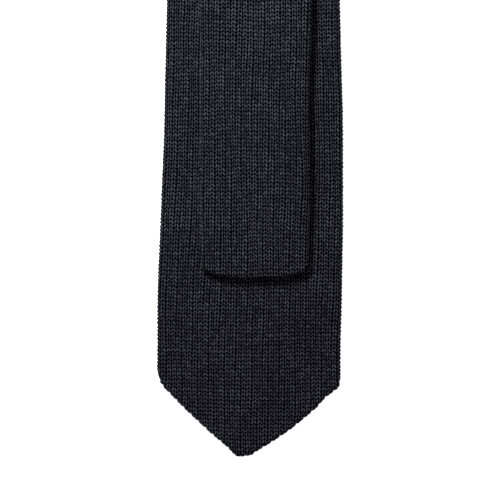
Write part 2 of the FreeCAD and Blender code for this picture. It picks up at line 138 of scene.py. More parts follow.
def add_piece(name, bm, body=None):
    """The bmesh as a finished piece, in metres, that rides on a CAD body."""
    mesh = bpy.data.meshes.new(name)
    bm.to_mesh(mesh)
    bm.free()
    piece = bpy.data.objects.new(name, mesh)
    bpy.context.scene.collection.objects.link(piece)
    if body:
        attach(piece, body)
    return piece


FLOOR_REACH = 20         # metres each way
CAST_GRAIN = 3           # millimetres between the faint clouds in cast acrylic
TABLE_GLOW = 0.85        # of the light under the table
bm = bmesh.new()
bmesh.ops.create_grid(bm, x_segments=1, y_segments=1, size=FLOOR_REACH)
floor = add_piece("floor", bm)
white_acrylic, tree, shader = new_material("white_acrylic", roughness=0.5, specular=0.2)
grain = add_node(tree, "ShaderNodeTexNoise", [("Scale", 1 / (CAST_GRAIN * MM))])
ramp = add_node(tree, "ShaderNodeValToRGB", [("Fac", grain.outputs["Fac"])])
ramp.color_ramp.elements[0].color = linear("#f8f8f8")
ramp.color_ramp.elements[1].color = linear("#fdfdfd")
tree.links.new(ramp.outputs["Color"], shader.inputs["Base Color"])
shader.inputs["Emission Color"].default_value = linear("#ffffff")
shader.inputs["Emission Strength"].default_value = TABLE_GLOW
floor.data.materials.append(white_acrylic)

# ---------------------------------------------------------------- wide blade and its pointed end
# One length of stocking-stitch tube, pressed flat, in a dry wool and silk yarn, so dark a navy that it is
# nearly black. Each wale is a column of loops, and each loop shows two legs that lean together at its top.
# The blade lies underneath, so its lower face is flat on the table.
COLUMNS = 4              # columns of points in a wale: groove, left leg, middle, right leg
ROWS = 3                 # rows of points in a course: the gap between loops, and two on the legs
LEAN = 0.52              # how much higher the middle of a loop lies than its feet, in courses

# height of each point over the cloth's middle surface, and its shift sideways, in millimetres
LOOP_HEIGHT = np.array([
    [-0.50, -0.10, -0.38, -0.10],
    [-0.48, 0.20, -0.30, 0.20],
    [-0.50, 0.18, 0.00, 0.18],
])
LOOP_SHIFT = np.array([
    [0.0, 0.02, 0.0, -0.02],
    [0.0, -0.12, 0.0, 0.12],
    [0.0, 0.13, 0.0, -0.13],
])
LOOP_LEAN = np.array([0.0, 0.5, 1.0, 0.5]) * LEAN

# how uneven the loops are: as shares of their height, shift and course, and in millimetres
UNEVEN_HEIGHT, UNEVEN_SHIFT, UNEVEN_COURSE = 0.25, 0.6, 0.11
FUZZ_HEIGHT, FUZZ_SHIFT = 0.05, 0.08
WANDER, WANDER_COURSES = 0.13, 11      # how far and how slowly each wale wanders sideways
MERGE = 0.02 * MM        # points nearer than this are made one
SLIVER = 0.005 * MM      # and edges shorter than this are dissolved


def scatter(row, column, seed):
    """An even spread of values from -1 to 1, from a sine hash: always the same for the same loop."""
    mixed = np.sin(row * 12.9898 + column * 78.233 + seed * 37.719) * 43758.5453
    return 2 * (mixed - np.floor(mixed)) - 1


def knit(name, wales, first, last, course, lay):
    """A closed tube of knit, wales wide on each face, from one course to another.

    lay(around, along, shift, height) gives the points of the cloth. around runs from 0 to 1 over the upper
    face, from left to right, and back from 1 to 2 under the lower one. Lengths are in millimetres.
    """
    columns, rows = 2 * wales * COLUMNS, (last - first) * ROWS
    bm = bmesh.new()
    bmesh.ops.create_grid(bm, x_segments=columns, y_segments=rows, size=0.5)
    mesh = bpy.data.meshes.new(name)
    bm.to_mesh(mesh)
    bm.free()
    flat = np.empty(len(mesh.vertices) * 3, np.float32)
    mesh.vertices.foreach_get("co", flat)
    column = np.rint((flat[0::3] + 0.5) * columns).astype(int)
    row = np.rint((flat[1::3] + 0.5) * rows).astype(int) + first * ROWS

    at_column, at_row = column % COLUMNS, row % ROWS
    loop, leg = row // ROWS, (column % columns) // 2
    height = LOOP_HEIGHT[at_row, at_column] * (1 + UNEVEN_HEIGHT * scatter(loop, leg, 1))
    height += FUZZ_HEIGHT * scatter(row, column % columns, 2)
    shift = LOOP_SHIFT[at_row, at_column] * (1 + UNEVEN_SHIFT * scatter(loop, leg, 3))
    shift = shift + FUZZ_SHIFT * scatter(loop, column % columns, 4)
    start = column % columns // COLUMNS * 2.4      # each wale wanders in its own way
    shift = shift + WANDER * np.sin(loop / WANDER_COURSES + start)
    shift = np.where(column > columns / 2, -shift, shift)
    up = row / ROWS + LOOP_LEAN[at_column] + UNEVEN_COURSE * scatter(loop, leg, 5)
    points = lay(column / columns * 2, up * course, shift, height)
    mesh.vertices.foreach_set("co", (np.stack(points, axis=1) * MM).astype(np.float32).ravel())

    corner = np.empty(len(mesh.loops), np.int32)
    mesh.loops.foreach_get("vertex_index", corner)
    uv = np.stack([column[corner] / COLUMNS, row[corner] / ROWS], axis=1).astype(np.float32)
    mesh.uv_layers.new(name="stitches").data.foreach_set("uv", uv.ravel())

    bm = bmesh.new()
    bm.from_mesh(mesh)
    bpy.data.meshes.remove(mesh)
    bmesh.ops.remove_doubles(bm, verts=bm.verts, dist=MERGE)
    bmesh.ops.dissolve_degenerate(bm, edges=bm.edges, dist=SLIVER)
    bmesh.ops.delete(bm, geom=[edge for edge in bm.edges if edge.is_wire], context="EDGES")
    bmesh.ops.delete(bm, geom=[vertex for vertex in bm.verts if not vertex.link_faces], context="VERTS")
    bmesh.ops.holes_fill(bm, edges=[edge for edge in bm.edges if edge.is_boundary], sides=0)
    bmesh.ops.recalc_face_normals(bm, faces=bm.faces)
    for face in bm.faces:
        face.smooth = len(face.verts) <= 4
    piece = add_piece(name, bm)
    piece.data.materials.append(knitted_yarn)
    return piece


def smooth_line(points, at, width=6.0):
    """The value at each place on a line through (place, value) points, with its corners softened."""
    places, values = zip(*points)
    softened = [np.interp(at + step * width, places, values) for step in (-1, -0.5, 0, 0.5, 1)]
    return np.mean(softened, axis=0)


def section(around, left, right, half):
    """The outline of a pressed tube: across and up, and the direction in which it faces."""
    flat_width = right - left - 2 * half
    run = np.where(around <= 1, around, 2 - around) * (flat_width + math.pi * half)
    face = np.where(around <= 1, 1.0, -1.0)
    at_left = np.clip(run / half, 0, math.pi / 2)
    at_right = np.clip((flat_width + math.pi * half - run) / half, 0, math.pi / 2)
    across = left + half * (1 - np.cos(at_left)) + half * np.cos(at_right)
    across = across + np.clip(run - math.pi / 2 * half, 0, flat_width)
    rise = np.minimum(np.sin(at_left), np.sin(at_right))
    return across, face * half * rise, np.cos(at_right) - np.cos(at_left), face * rise


# Pressed cloth isn't quite straight or flat. Each wave is its size and its length for one radian, in
# millimetres, then its change from side to side and its start, in radians.
WALE_WAVES = ((0.20, 17, 9, 0), (0.12, 6.1, 31, 0))
COURSE_WAVES = ((0.30, 23, 7, 0), (0.16, 9, 19, 1.3))
DENT, RIPPLE = 0.16, 0.10              # how deep the broad and the narrow dents are
FREE_FROM_END = 4.0      # the loops wander sideways in full this far from a closed end
OFF_TABLE = 0.02         # no loop goes lower than this
CHAIN = 0.4              # the linked chain stands this far out of the cloth along a closed end


def waves(along, share, parts):
    """The sum of slow waves along a tube, which differ from one side of it to the other."""
    return sum(size * np.sin(along / length + change * share + start)
               for size, length, change, start in parts)


def press(around, along, shift, height, left, right, low, high, widest, closed_edge=None, closing=None):
    """The points of a pressed tube between its sides and its two faces: across, along and up.

    left, right, low and high are functions of the place along the tube. Where it is narrower than widest,
    its loops are smaller. closed_edge is the line across the tube of an end that is closed, and the tube
    draws together over the length closing.
    """
    share = np.where(around <= 1, around, 2 - around)
    sideways = waves(along, share, WALE_WAVES)
    s = along + waves(along, share, COURSE_WAVES)
    y, fade, free = s, 1.0, 1.0
    # the closed edge and the tube's width there depend on each other, so they are found in a few rounds
    for _ in range(4 if closed_edge else 1):
        bottom, top = low(y), high(y)
        across, rise, out_across, out_rise = section(around, left(y), right(y), (top - bottom) / 2)
        if closed_edge:
            edge = smooth_line(closed_edge, across, 0.5) + CHAIN
            y = np.maximum(s, edge)
    if closed_edge:
        open_share = 1 - np.clip((s - edge) / closing, 0, 1)
        fade = np.sqrt(1 - open_share ** 2)
        free = np.clip((s - edge) / FREE_FROM_END, 0, 1)
    gauge = np.minimum((right(y) - left(y)) / widest, 1)
    shift, height = shift * gauge, height * gauge
    x = across + free * np.abs(out_rise) * (sideways + shift) + out_across * height * fade
    dent = DENT * np.sin(x / 7 + s / 31 + 0.6) * np.sin(s / 13 + x / 19)
    dent = dent - RIPPLE * np.sin(x / 3.9 - s / 9)
    dent = np.where(rise > 0, out_rise * dent, 0)
    z = (bottom + top) / 2 + (rise + out_rise * height + dent) * fade
    return x, y, np.maximum(z, OFF_TABLE)


PATCH_SIZE = 14.0        # millimetres across the soft darker and lighter patches
FIBRE_SIZE = 0.5         # drawn several times as coarse as a real fibre, so that it shows
PLY_TURNS = 4.0          # slanting lines of the twisted plies on each leg


def knit_material(name, leg_colour, hole_shade_colour):
    """Dry, matte yarn: its legs catch a little light, and the holes between the loops are painted nearly
    black as shade.
    """
    material, tree, shader = new_material(name, roughness=0.85, specular=0.012, sheen=0.008)
    shader.inputs["Sheen Roughness"].default_value = 0.3
    shader.inputs["Sheen Tint"].default_value = linear("#9a9ab4")

    # the place in wales and courses, a chance for each leg, and noise for the patches and the fibres
    stitches = add_node(tree, "ShaderNodeUVMap", uv_map="stitches").outputs["UV"]
    place = add_node(tree, "ShaderNodeSeparateXYZ", [(0, stitches)])
    legs = add_node(tree, "ShaderNodeVectorMath", [(0, stitches), (1, (2, 1, 1))], operation="MULTIPLY")
    number = add_node(tree, "ShaderNodeVectorMath", [(0, legs.outputs[0])], operation="FLOOR")
    chance = add_node(tree, "ShaderNodeTexWhiteNoise", [(0, number.outputs[0])], noise_dimensions="3D")
    where = add_node(tree, "ShaderNodeTexCoord").outputs["Object"]
    values = {"wale": place.outputs["X"], "course": place.outputs["Y"], "chance": chance.outputs["Value"]}
    for noise, size in (("patch", PATCH_SIZE), ("fibre", FIBRE_SIZE)):
        node = add_node(tree, "ShaderNodeTexNoise", [("Vector", where), ("Scale", 1 / (size * MM))])
        values[noise] = node.outputs["Fac"]

    # each step is its name, its operation, and its numbers or the names of values before it
    steps = (
        # how full the yarn is: 1 along the middle of a leg, 0 in the holes round it
        ("twice", "MULTIPLY", "wale", 2.0),
        ("leg_part", "FRACT", "twice"),
        ("leg_side", "MULTIPLY_ADD", "leg_part", 2.0, -1.0),
        ("leg_square", "MULTIPLY", "leg_side", "leg_side"),
        ("leg", "SUBTRACT", 1.0, "leg_square"),
        ("up", "FRACT", "course"),
        ("up_side", "MULTIPLY_ADD", "up", 2.0, -1.0),
        ("from_centre", "ABSOLUTE", "up_side"),
        ("thinner", "POWER", "from_centre", 2.5),
        ("end", "MULTIPLY_ADD", "thinner", -0.75, 1.0),
        # the legs join at the top of the loop, in the middle of the wale
        ("wale_part", "FRACT", "wale"),
        ("wale_side", "MULTIPLY_ADD", "wale_part", 2.0, -1.0),
        ("from_middle", "ABSOLUTE", "wale_side"),
        ("middle", "SUBTRACT", 1.0, "from_middle"),
        ("narrow", "POWER", "middle", 3.0),
        ("up_end", "MULTIPLY", "up", "end"),
        ("arch", "MULTIPLY", "narrow", "up_end"),
        ("arch_part", "MULTIPLY", "arch", 0.45),
        ("fullness", "MULTIPLY_ADD", "leg", "end", "arch_part"),
        # two plies twisted together: fine slanting lines across each leg
        ("slant", "MULTIPLY", "leg_side", 0.6),
        ("turns", "MULTIPLY_ADD", "course", PLY_TURNS, "slant"),
        ("turn_part", "FRACT", "turns"),
        ("turn_side", "MULTIPLY_ADD", "turn_part", 2.0, -1.0),
        ("ply", "ABSOLUTE", "turn_side"),
        # every leg catches the light differently, and the cloth is darker and lighter in soft patches
        ("rarer", "POWER", "chance", 1.3),
        ("leg_tone", "MULTIPLY_ADD", "rarer", 0.8, 0.7),
        ("patch_tone", "MULTIPLY_ADD", "patch", 0.7, 0.65),
        ("ply_tone", "MULTIPLY_ADD", "ply", 0.25, 0.88),
        ("fibre_tone", "MULTIPLY_ADD", "fibre", 1.3, 0.35),
        ("cloth_tone", "MULTIPLY", "leg_tone", "patch_tone"),
        ("yarn_tone", "MULTIPLY", "cloth_tone", "ply_tone"),
        ("tone", "MULTIPLY", "yarn_tone", "fibre_tone"),
        # the relief of the legs, the plies and the fibres, in millimetres
        ("ply_relief", "MULTIPLY", "ply", 0.03),
        ("leg_relief", "MULTIPLY_ADD", "fullness", 0.14, "ply_relief"),
        ("relief", "MULTIPLY_ADD", "fibre", 0.08, "leg_relief"),
    )
    for step, operation, *taken in steps:
        links = [(socket, values.get(value, value)) for socket, value in enumerate(taken)]
        values[step] = add_node(tree, "ShaderNodeMath", links, operation=operation).outputs[0]

    # painted shade: the colour falls from the yarn's own along the middle of each leg to nearly black in
    # the holes between the loops and at the legs' sides and ends
    hole_shade = add_node(tree, "ShaderNodeMapRange",
                     [("Value", values["fullness"]), ("From Min", 0.46), ("From Max", 1.0)],
                     interpolation_type="SMOOTHSTEP").outputs["Result"]
    shade = add_node(tree, "ShaderNodeMath", [(0, values["tone"]), (1, hole_shade)], operation="MULTIPLY")
    tint = add_node(tree, "ShaderNodeMix", [(0, shade.outputs[0]), (6, hole_shade_colour), (7, leg_colour)],
                    data_type="RGBA", clamp_factor=False)
    tree.links.new(tint.outputs[2], shader.inputs["Base Color"])
    bump = add_node(tree, "ShaderNodeBump",
                    [("Height", values["relief"]), ("Distance", MM), ("Strength", 0.8)])
    tree.links.new(bump.outputs[0], shader.inputs["Normal"])
    return material


# the yarn's own colour, and the painted shade in the holes between its loops
knitted_yarn = knit_material("navy_wool_silk_knit", linear("#46464e"), linear("#010107"))

# The blade's sizes in millimetres. Each side is a line of (distance from the point, side), and the edge of
# the point is a line of (side, distance from the point).
BLADE_WALES = 35
BLADE_LENGTH = 499.4
BLADE_WIDEST = 70
BLADE_LOW, BLADE_HIGH = 0.34, 2.95     # the middle of its lower and upper cloth
POINT_CLOSING = 2.4
BLADE_LEFT = [(30, -35.1), (46, -35.1), (60, -34.9), (78, -34.2), (97, -33.4), (116, -32.8), (135, -32.3),
              (157, -31.8), (300, -27.0), (499.7, -14.8)]
BLADE_RIGHT = [(28, 34.6), (46, 34.6), (60, 35.1), (80, 35.4), (105, 35.5), (120, 35.5), (140, 35.2),
               (157, 34.7), (300, 30.8), (499.7, 19.2)]
POINT_EDGE = [(-35.6, 38), (-35.3, 33), (-34.9, 30.4), (-33.8, 28.1), (-32.1, 25.7), (-24.2, 17.6),
              (-14.6, 8.6), (-8.9, 3.8), (-6.8, 1.8), (-5.0, -0.2), (-1.6, -0.3), (1.0, 0.5), (3.0, 1.9),
              (8.6, 5.3), (15.1, 9.7), (20.8, 14.3), (25.2, 18.1), (28.4, 21.8), (33.2, 25.4),
              (34.2, 27.3), (34.8, 29.5), (35.2, 34)]


def lay_blade(around, along, shift, height):
    return press(
        around, along, shift, height,
        left=lambda s: smooth_line(BLADE_LEFT, s),
        right=lambda s: smooth_line(BLADE_RIGHT, s),
        low=lambda s: np.full_like(s, BLADE_LOW),
        high=lambda s: np.full_like(s, BLADE_HIGH),
        widest=BLADE_WIDEST, closed_edge=POINT_EDGE, closing=POINT_CLOSING,
    )


def place_knit(lay):
    """The same laying, with the distance from the point made the row's Y."""

    def placed(around, along, shift, height):
        x, s, z = lay(around, along, shift, height)
        return x, POINT_AT + s, z

    return placed


# three lengths, which meet in the gap between two courses
BLADE_CUTS = (0, 110, 223, 335)
blade_course = BLADE_LENGTH / BLADE_CUTS[-1]
pointed_length, middle_length, upper_length = [
    knit(name, BLADE_WALES, first, last, blade_course, place_knit(lay_blade))
    for name, first, last in zip(("wide_blade_pointed_length", "wide_blade_middle_length",
                                  "wide_blade_upper_length"), BLADE_CUTS, BLADE_CUTS[1:])
]
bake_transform(pointed_length)
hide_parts("wide_blade", "blade_tip")
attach(middle_length, "blade")
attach(upper_length, "blade")


def add_loop(bm, middle, run, up, sizes):
    """A loop or a stitch of yarn: a small rounded body along run, in millimetres."""
    run, up = Vector(run).normalized(), Vector(up).normalized()
    side = up.cross(run).normalized()
    up = run.cross(side)
    turned = Matrix((run, side, up)).transposed().to_4x4()
    stretched = Matrix.Diagonal((*[size * MM for size in sizes], 1))
    matrix = Matrix.Translation(Vector(middle) * MM) @ turned @ stretched
    made = bmesh.ops.create_uvsphere(bm, u_segments=8, v_segments=6, radius=0.5, matrix=matrix)
    for vertex in made["verts"]:
        for face in vertex.link_faces:
            face.smooth = True


def spaced(points, step):
    """Places along a line of points, step apart or a little more, and the line's direction at each."""
    points = np.array(points, float)
    sides = np.linalg.norm(np.diff(points, axis=0), axis=1)
    along = np.concatenate([[0], np.cumsum(sides)])
    count = int(along[-1] // step)
    at = np.linspace(step / 2, along[-1] - step / 2, count)
    places, ahead = [np.stack([np.interp(a, along, p) for p in points.T], axis=1) for a in (at, at + 0.1)]
    return places, ahead - places


YARN_FIBRE = 0.35        # millimetres between the coarsest fibres
YARN_BAND = 8.0          # slanting bands come every 0.63 of this


def yarn_material(name, colour, dark, roughness=0.85, specular=0.06):
    """Twisted yarn or thread seen close: fine fibres in slanting bands, with painted shade where it turns
    away.
    """
    material, tree, shader = new_material(name, roughness, specular, sheen=0.03)
    where = add_node(tree, "ShaderNodeTexCoord").outputs["Object"]
    fibre = add_node(tree, "ShaderNodeTexNoise",
                     [("Vector", where), ("Scale", 1 / (YARN_FIBRE * MM)), ("Detail", 3.0)])
    twist = add_node(tree, "ShaderNodeTexWave",
                     [("Vector", where), ("Scale", 1 / (YARN_BAND * MM)), ("Distortion", 3.0)],
                     bands_direction="DIAGONAL")
    mixed = add_node(tree, "ShaderNodeMath", [(0, fibre.outputs["Fac"]), (1, twist.outputs["Fac"])],
                     operation="MULTIPLY")
    # the ramp's dark end is painted shade in the bands where the yarn turns away
    ramp = add_node(tree, "ShaderNodeValToRGB", [("Fac", mixed.outputs[0])])
    ramp.color_ramp.elements[0].color = linear(dark)
    ramp.color_ramp.elements[1].position = 0.6
    ramp.color_ramp.elements[1].color = linear(colour)
    tree.links.new(ramp.outputs["Color"], shader.inputs["Base Color"])
    bump = add_node(tree, "ShaderNodeBump", [("Height", mixed.outputs[0]), ("Distance", 0.1 * MM)])
    tree.links.new(bump.outputs[0], shader.inputs["Normal"])
    return material


linking_yarn = yarn_material("navy_linking_yarn", "#3e3e4a", "#0b0b0f")


LINK_SLANT = 0.22        # each loop of a chain slants a little, to one side and the other in turn


def chain_piece(name, body, node, line, step, sizes, up=(0, 0, 1)):
    """A linked chain along a line: one rounded loop for each loop of the cloth's edge."""
    bm = bmesh.new()
    for number, (place, ahead) in enumerate(zip(*spaced(line, step))):
        turn = LINK_SLANT * (-1) ** number
        run = (ahead[0] - turn * ahead[1], ahead[1] + turn * ahead[0], ahead[2])
        add_loop(bm, place, run, up, sizes)
    piece = add_piece(name, bm, body)
    piece.data.materials.append(linking_yarn)
    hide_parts(node)
    return piece


# The point is closed by linking its loops together along both sides, half way up the edge.
LINK_STEP = 1.9
LINK_LOOP = (2.2, 1.1, 1.3)
POINT_LINK_IN, POINT_LINK_UP = 0.45, 1.62
point_line = [(x, POINT_AT + s + POINT_LINK_IN, POINT_LINK_UP) for x, s in POINT_EDGE[3:-2]]
chain_piece("point_linked_edge", "blade_point", "blade_tip_seam", point_line, LINK_STEP, LINK_LOOP)

# ---------------------------------------------------------------- interlining
# A strip of light brushed cloth in each blade, caught in the seam at the neckband, which keeps its width.
NAP_SIZE = 0.8           # millimetres between the tufts
brushed_cloth, tree, shader = new_material("off_white_brushed_interlining", roughness=0.95, specular=0.1,
                                           sheen=0.2)
where = add_node(tree, "ShaderNodeTexCoord").outputs["Object"]
nap = add_node(tree, "ShaderNodeTexNoise",
               [("Vector", where), ("Scale", 1 / (NAP_SIZE * MM)), ("Detail", 4.0)])
ramp = add_node(tree, "ShaderNodeValToRGB", [("Fac", nap.outputs["Fac"])])
ramp.color_ramp.elements[0].color = linear("#8f8c84")
ramp.color_ramp.elements[1].color = linear("#aeaaa0")
tree.links.new(ramp.outputs["Color"], shader.inputs["Base Color"])
bump = add_node(tree, "ShaderNodeBump", [("Height", nap.outputs["Fac"]), ("Distance", 0.2 * MM)])
tree.links.new(bump.outputs[0], shader.inputs["Normal"])
for node in ("blade_interlining", "tail_interlining"):
    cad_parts[node].data.materials.clear()
    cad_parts[node].data.materials.append(brushed_cloth)

# ---------------------------------------------------------------- tail and its square end
# The narrow length of the same tube, folded back over the blade. Its loose end lies straight on the blade,
# and higher up it rises over the labels and through the keeper loop. Its end is almost straight.
TAIL_WALES = 21
TAIL_LENGTH = 399.4
TAIL_WIDEST = 41
END_CLOSING = 0.6
TAIL_LEFT = [(66, -18.0), (100, -18.6), (150, -18.5), (250, -18.4), (399.7, -14.8)]
TAIL_RIGHT = [(66, 22.2), (84, 22.3), (91, 22.5), (99, 23.0), (106, 22.8), (121, 22.6),
              (137, 22.4), (144, 22.6), (152, 23.1), (165, 23.2), (200, 22.9), (250, 22.8), (399.7, 19.2)]
END_LOW = 3.52           # the loose end's lower cloth, which lies on the blade's loops
TAIL_LOW = [(112, END_LOW), (157, 4.15), (250, 4.15)]
TAIL_THICK = 2.75
END_EDGE = [(-18.8, 73.5), (-18.3, 70.9), (-17.6, 70.0), (-14.9, 69.0), (-11.2, 68.1), (-7.4, 67.4),
            (-3.6, 67.1), (7.8, 67.0), (11.5, 67.3), (15.3, 67.9), (19.0, 68.8), (20.8, 70.0),
            (21.8, 71.8), (22.3, 74.5), (22.6, 79)]


def lay_tail(around, along, shift, height):
    return press(
        around, along, shift, height,
        left=lambda s: smooth_line(TAIL_LEFT, s),
        right=lambda s: smooth_line(TAIL_RIGHT, s),
        low=lambda s: smooth_line(TAIL_LOW, s),
        high=lambda s: smooth_line(TAIL_LOW, s) + TAIL_THICK,
        widest=TAIL_WIDEST, closed_edge=END_EDGE, closing=END_CLOSING,
    )


TAIL_CUTS = (45, 158, 268)
tail_course = TAIL_LENGTH / TAIL_CUTS[-1]
lower_tail, upper_tail = [
    knit(name, TAIL_WALES, first, last, tail_course, place_knit(lay_tail))
    for name, first, last in zip(("tail_loose_length", "tail_upper_length"), TAIL_CUTS, TAIL_CUTS[1:])
]
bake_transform(lower_tail)
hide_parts("tail", "tail_end")
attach(upper_tail, "tail_length")

# The end is linked together in the same way, a little under the middle of its edge.
END_LINK_IN, END_LINK_DOWN = 0.75, 0.3
end_link_up = END_LOW + TAIL_THICK / 2 - END_LINK_DOWN
end_line = [(x, POINT_AT + s + END_LINK_IN, end_link_up) for x, s in END_EDGE[2:-3]]
chain_piece("tail_end_linked_edge", "loose_end", "tail_end_seam", end_line, LINK_STEP, LINK_LOOP)

# ---------------------------------------------------------------- neckband
# Two lengths of a narrower tube, sewn together at the centre of the neck, where the tie is folded. A woven
# tape inside each keeps the neck from stretching.
NECK_WALES = 17
NECK_LEFT, NECK_RIGHT = -14.8, 19.2
NECK_THICK = 2.5
BLADE_SIDE_FROM, TAIL_SIDE_FROM = 500.3, 400.3     # where its two lengths start, from the blade's point
STRIP_UP = 10            # the height at which a strip is laid out flat before it is bent
FOLD_AT = 756.85         # where the neckband starts to turn, from the blade's point
FOLD_RADIUS = 1.75       # of the neckband's middle surface
FOLD_LEAST = 0.06        # cloth on the inside keeps this far from what it turns round
LOWER_CENTRE, UPPER_CENTRE = 3.15, 3.75            # the heights round which its two lengths turn


def over_fold(s, height, upper):
    """Bends a straight strip round its half of the fold. height is over the strip's middle surface."""
    angle = np.clip((s - FOLD_AT) / FOLD_RADIUS, 0, math.pi / 2)
    outward = height if upper else -height
    radius = np.maximum(FOLD_RADIUS + outward, FOLD_LEAST)
    y = np.where(angle > 0, FOLD_AT + radius * np.sin(angle), s)
    centre, way = (UPPER_CENTRE, 1) if upper else (LOWER_CENTRE, -1)
    return POINT_AT + y, centre + way * radius * np.cos(angle)


def neckband_length(name, start, upper, courses, node):
    """One length of the neckband, from its seam to the middle of the fold."""
    length = FOLD_AT + FOLD_RADIUS * math.pi / 2 - start

    def lay(around, along, shift, height):
        x, s, z = press(
            around, along, shift, height,
            left=lambda s: np.full_like(s, NECK_LEFT),
            right=lambda s: np.full_like(s, NECK_RIGHT),
            low=lambda s: np.full_like(s, STRIP_UP - NECK_THICK / 2),
            high=lambda s: np.full_like(s, STRIP_UP + NECK_THICK / 2),
            widest=NECK_RIGHT - NECK_LEFT,
        )
        s = np.clip(start + s, start, start + length)
        y, z = over_fold(s, z - STRIP_UP, upper)
        return x, y, np.maximum(z, OFF_TABLE)

    piece = knit(name, NECK_WALES, 0, courses, length / courses, lay)
    ends = [from_point(start), from_point(FOLD_AT)]
    if upper:
        ends.reverse()
    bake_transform(piece)
    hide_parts(node)
    return piece


neckband_length("neckband_blade_length", BLADE_SIDE_FROM, upper=False, courses=174,
                node="neckband_blade_side")
neckband_length("neckband_tail_length", TAIL_SIDE_FROM, upper=True, courses=241,
                node="neckband_tail_side")

# ---------------------------------------------------------------- stay tapes
# A woven cotton tape lies inside each length of the neckband and is sewn in with its seams.


def slab(bm, across, along):
    """A closed slab one unit long each way about the middle, divided across and along."""
    bmesh.ops.create_grid(bm, x_segments=across, y_segments=along, size=0.5)
    bmesh.ops.translate(bm, verts=bm.verts, vec=(0, 0, -0.5))
    raised = bmesh.ops.extrude_face_region(bm, geom=bm.faces[:], use_keep_orig=True)
    top = [part for part in raised["geom"] if isinstance(part, bmesh.types.BMVert)]
    bmesh.ops.translate(bm, verts=top, vec=(0, 0, 1))
    bmesh.ops.recalc_face_normals(bm, faces=bm.faces)


WAVE_REPEAT = 0.314      # a wave texture along one axis repeats every 0.314 / scale
TAPE_THREAD = 0.8        # millimetres between its threads


def woven_material(name, colour, dark, thread, roughness, specular):
    """Plain woven thread: a fine rib each way, which shows as a soft grid."""
    material, tree, shader = new_material(name, roughness, specular, sheen=0.1)
    where = add_node(tree, "ShaderNodeTexCoord").outputs["Object"]
    ribs = [
        add_node(tree, "ShaderNodeTexWave",
                 [("Vector", where), ("Scale", WAVE_REPEAT / (thread * MM)), ("Distortion", 0.6)],
                 bands_direction=way).outputs["Fac"]
        for way in ("X", "Y")
    ]
    weave = add_node(tree, "ShaderNodeMath", [(0, ribs[0]), (1, ribs[1])], operation="MULTIPLY")
    ramp = add_node(tree, "ShaderNodeValToRGB", [("Fac", weave.outputs[0])])
    ramp.color_ramp.elements[0].color = linear(dark)
    ramp.color_ramp.elements[1].color = linear(colour)
    tree.links.new(ramp.outputs["Color"], shader.inputs["Base Color"])
    bump = add_node(tree, "ShaderNodeBump", [("Height", weave.outputs[0]), ("Distance", 0.08 * MM)])
    tree.links.new(bump.outputs[0], shader.inputs["Normal"])
    return material


cotton_tape = woven_material("black_cotton_tape", "#2a2a2e", "#0c0c0e", TAPE_THREAD,
                             roughness=0.9, specular=0.2)
NECK_SIDE = (NECK_LEFT + NECK_RIGHT) / 2
TAPE_WIDTH, TAPE_THICK = 20.0, 0.5


def stay_tape(name, start, upper, node):
    """The tape inside one length of the neckband, divided more closely where it turns over the fold."""
    length = FOLD_AT + FOLD_RADIUS * math.pi / 2 - start
    bm = bmesh.new()
    slab(bm, across=4, along=60)
    for vertex in bm.verts:
        x, y, z = vertex.co
        s = start + length * (1 - (0.5 - y) ** 3)
        y, z = over_fold(s, z * TAPE_THICK, upper)
        vertex.co = Vector((NECK_SIDE + x * TAPE_WIDTH, y, z)) * MM
    bmesh.ops.recalc_face_normals(bm, faces=bm.faces)
    piece = add_piece(name, bm)
    piece.data.materials.append(cotton_tape)
    ends = [from_point(start), from_point(FOLD_AT)]
    if upper:
        ends.reverse()
    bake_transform(piece)
    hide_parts(node)


stay_tape("stay_tape_blade_length", BLADE_SIDE_FROM, False, "stay_tape_blade_side")
stay_tape("stay_tape_tail_length", TAIL_SIDE_FROM, True, "stay_tape_tail_side")

# ---------------------------------------------------------------- joining seams
# The neckband is linked loop for loop to the blade, to the tail and to its own other half.
SEAM_IN = 0.3            # how far the linking lies inside the neckband's sides
SEAM_HALF = 1.0          # half its height
SEAM_STEP = 1.5
SEAM_LOOP = (1.7, 0.9, 1.2)
BLADE_SEAM_AT, BLADE_SEAM_UP = 500, 1.48
TAIL_SEAM_AT, TAIL_SEAM_UP = 400, 5.5


def ring_line(half, place):
    """The line round a tube of the neckband's width. place turns its across and up into X, Y and Z."""
    across, up, _, _ = section(np.linspace(0, 2, 60), NECK_LEFT + SEAM_IN, NECK_RIGHT - SEAM_IN, half)
    return [place(x, z) for x, z in zip(across, up)]


blade_seam = ring_line(SEAM_HALF, lambda x, z: (x, POINT_AT + BLADE_SEAM_AT, BLADE_SEAM_UP + z))
chain_piece("blade_neck_linking", "blade", "blade_neck_seam", blade_seam, SEAM_STEP, SEAM_LOOP,
            up=(0, 1, 0))
tail_seam = ring_line(SEAM_HALF, lambda x, z: (x, POINT_AT + TAIL_SEAM_AT, TAIL_SEAM_UP + z))
chain_piece("neck_tail_linking", "tail_length", "neck_tail_seam", tail_seam, SEAM_STEP, SEAM_LOOP,
            up=(0, 1, 0))
fold_at, fold_up = POINT_AT + FOLD_AT + FOLD_RADIUS, (LOWER_CENTRE + UPPER_CENTRE) / 2
back_seam = ring_line(SEAM_HALF, lambda x, z: (x, fold_at + z, fold_up))
chain_piece("centre_back_linking", "neck_fold", "centre_back_seam", back_seam, SEAM_STEP, SEAM_LOOP)

